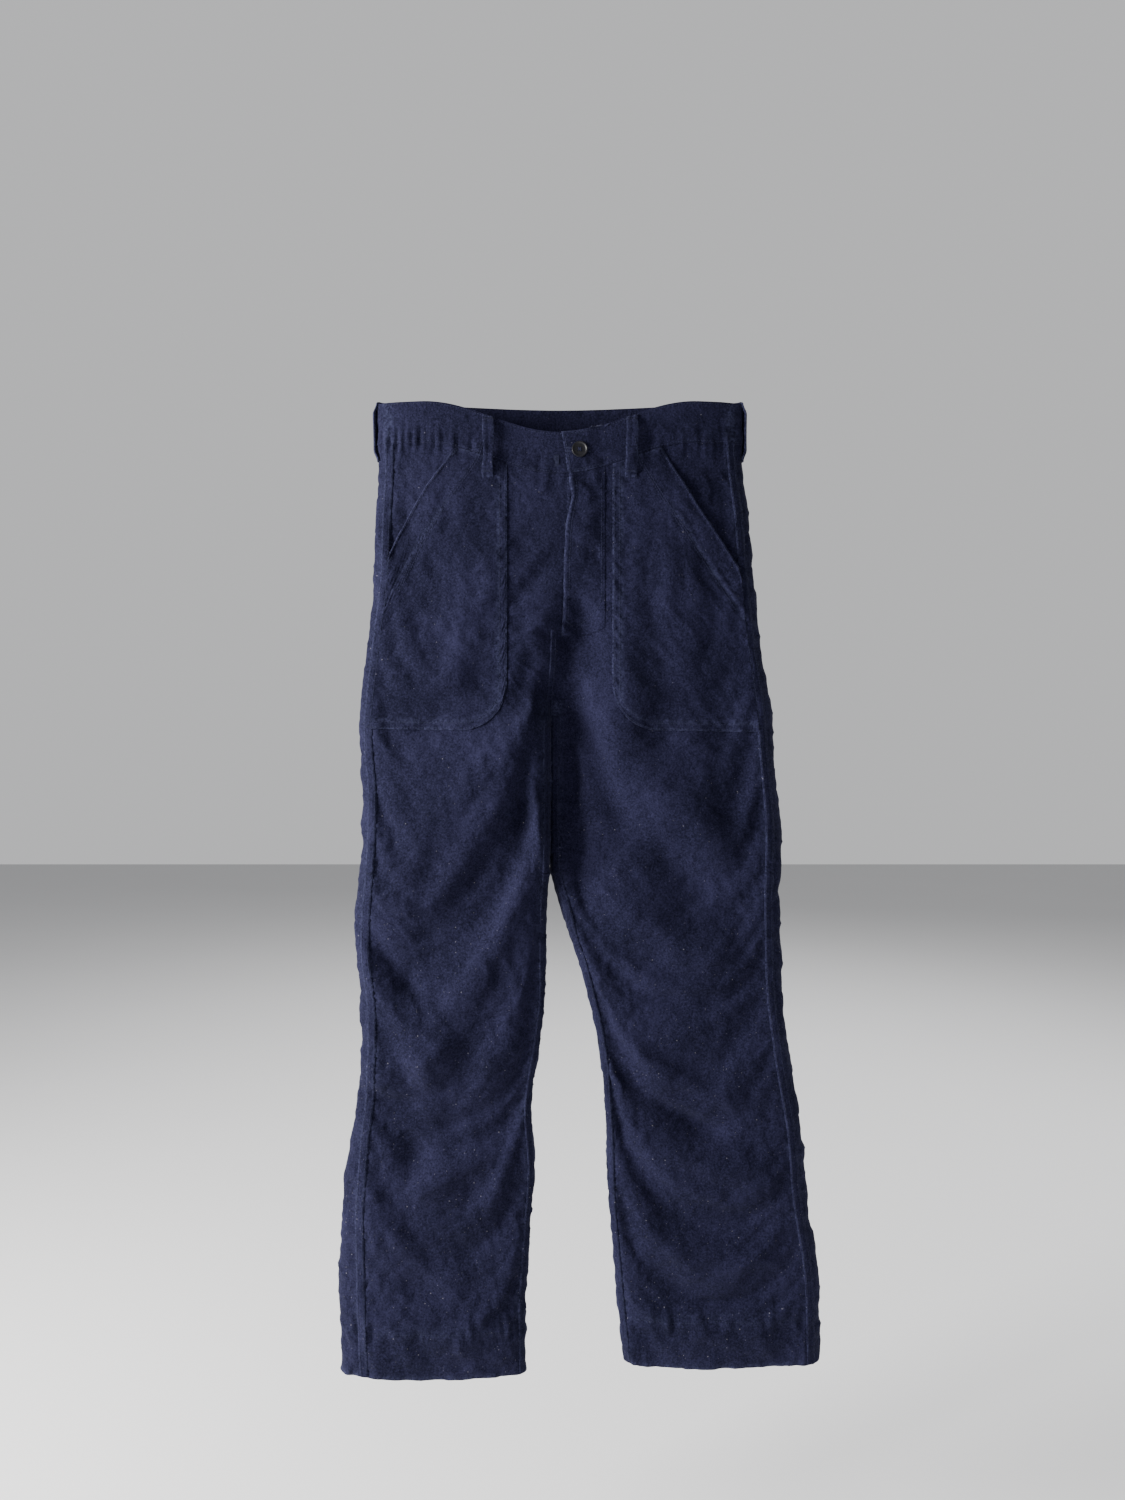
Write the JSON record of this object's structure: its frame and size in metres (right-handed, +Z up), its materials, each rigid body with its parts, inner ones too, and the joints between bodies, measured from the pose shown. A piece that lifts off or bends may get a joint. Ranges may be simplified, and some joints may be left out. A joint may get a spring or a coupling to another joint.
{
  "type": "utility trousers",
  "caption": "Navy cotton utility trousers hanging by the waistband, with patch pockets, buttoned fly and back flaps, and legs that fold at the hip and knee.",
  "frame": {"origin": "middle of the waistband's top edge, where a hanger's clips hold it", "axes": "+Z up along the hanging trousers, the front faces -Y, the wearer's right side is at -X"},
  "size_m": [0.5255, 0.0733, 1.06],
  "materials": {
    "canvas": "washed matte cotton canvas",
    "waistband_canvas": "washed matte cotton canvas, two layers",
    "pocket_canvas": "washed matte cotton canvas",
    "seam_canvas": "washed matte cotton canvas, faded at the edges",
    "fly_canvas": "matte cotton canvas",
    "button": "dark satin plastic"
  },
  "bodies": {
    "hips": {"back_panel_left": "canvas", "back_panel_right": "canvas", "back_pocket_button_left": "button", "back_pocket_button_right": "button", "back_pocket_left": "pocket_canvas", "back_pocket_right": "pocket_canvas", "belt_loop_back_centre": "seam_canvas", "belt_loop_back_left": "seam_canvas", "belt_loop_back_right": "seam_canvas", "belt_loop_front_left": "seam_canvas", "belt_loop_front_right": "seam_canvas", "belt_loop_side_left": "seam_canvas", "belt_loop_side_right": "seam_canvas", "fly_button_1": "button", "fly_button_2": "button", "fly_button_3": "button", "fly_button_4": "button", "fly_underlap": "fly_canvas", "front_panel_left": "canvas", "front_panel_right": "canvas", "front_pocket_left": "pocket_canvas", "front_pocket_right": "pocket_canvas", "seat_seam": "seam_canvas", "side_seam_hip_left": "seam_canvas", "side_seam_hip_right": "seam_canvas", "waist_button": "button", "waistband_back_left": "waistband_canvas", "waistband_back_right": "waistband_canvas", "waistband_front_left": "waistband_canvas", "waistband_front_right": "waistband_canvas"},
    "fly_flap": {"fly_overlap": "canvas", "waistband_tab": "waistband_canvas"},
    "back_flap_right": {"back_pocket_flap_right": "pocket_canvas"},
    "back_flap_left": {"back_pocket_flap_left": "pocket_canvas"},
    "thigh_right": {"inseam_thigh_right": "seam_canvas", "side_seam_thigh_right": "seam_canvas", "thigh_back_right": "canvas", "thigh_front_right": "canvas"},
    "thigh_left": {"inseam_thigh_left": "seam_canvas", "side_seam_thigh_left": "seam_canvas", "thigh_back_left": "canvas", "thigh_front_left": "canvas"},
    "shin_right": {"hem_right": "seam_canvas", "inseam_shin_right": "seam_canvas", "shin_back_right": "canvas", "shin_front_right": "canvas", "side_seam_shin_right": "seam_canvas"},
    "shin_left": {"hem_left": "seam_canvas", "inseam_shin_left": "seam_canvas", "shin_back_left": "canvas", "shin_front_left": "canvas", "side_seam_shin_left": "seam_canvas"}
  },
  "joints": [
    {"name": "fly_open", "type": "hinge", "parent": "hips", "child": "fly_flap", "pos_m": [0.0502, -0.02528, -0.118], "axis": [0, 0, 1], "range_deg": [0, 100]},
    {"name": "back_flap_lift_right", "type": "hinge", "parent": "hips", "child": "back_flap_right", "pos_m": [-0.093, 0.03436, -0.078], "axis": [1, 0, 0], "range_deg": [0, 150]},
    {"name": "back_flap_lift_left", "type": "hinge", "parent": "hips", "child": "back_flap_left", "pos_m": [0.093, 0.03436, -0.078], "axis": [1, 0, 0], "range_deg": [0, 150]},
    {"name": "hip_fold_right", "type": "hinge", "parent": "hips", "child": "thigh_right", "pos_m": [-0.1165, -0.026, -0.3852], "axis": [-1, 0, 0], "range_deg": [0, 100]},
    {"name": "hip_fold_left", "type": "hinge", "parent": "hips", "child": "thigh_left", "pos_m": [0.113, -0.026, -0.3852], "axis": [-1, 0, 0], "range_deg": [0, 100]},
    {"name": "knee_fold_right", "type": "hinge", "parent": "thigh_right", "child": "shin_right", "pos_m": [-0.118, 0.025, -0.6502], "axis": [1, 0, 0], "range_deg": [0, 130]},
    {"name": "knee_fold_left", "type": "hinge", "parent": "thigh_left", "child": "shin_left", "pos_m": [0.139, 0.025, -0.6502], "axis": [1, 0, 0], "range_deg": [0, 130]}
  ]
}
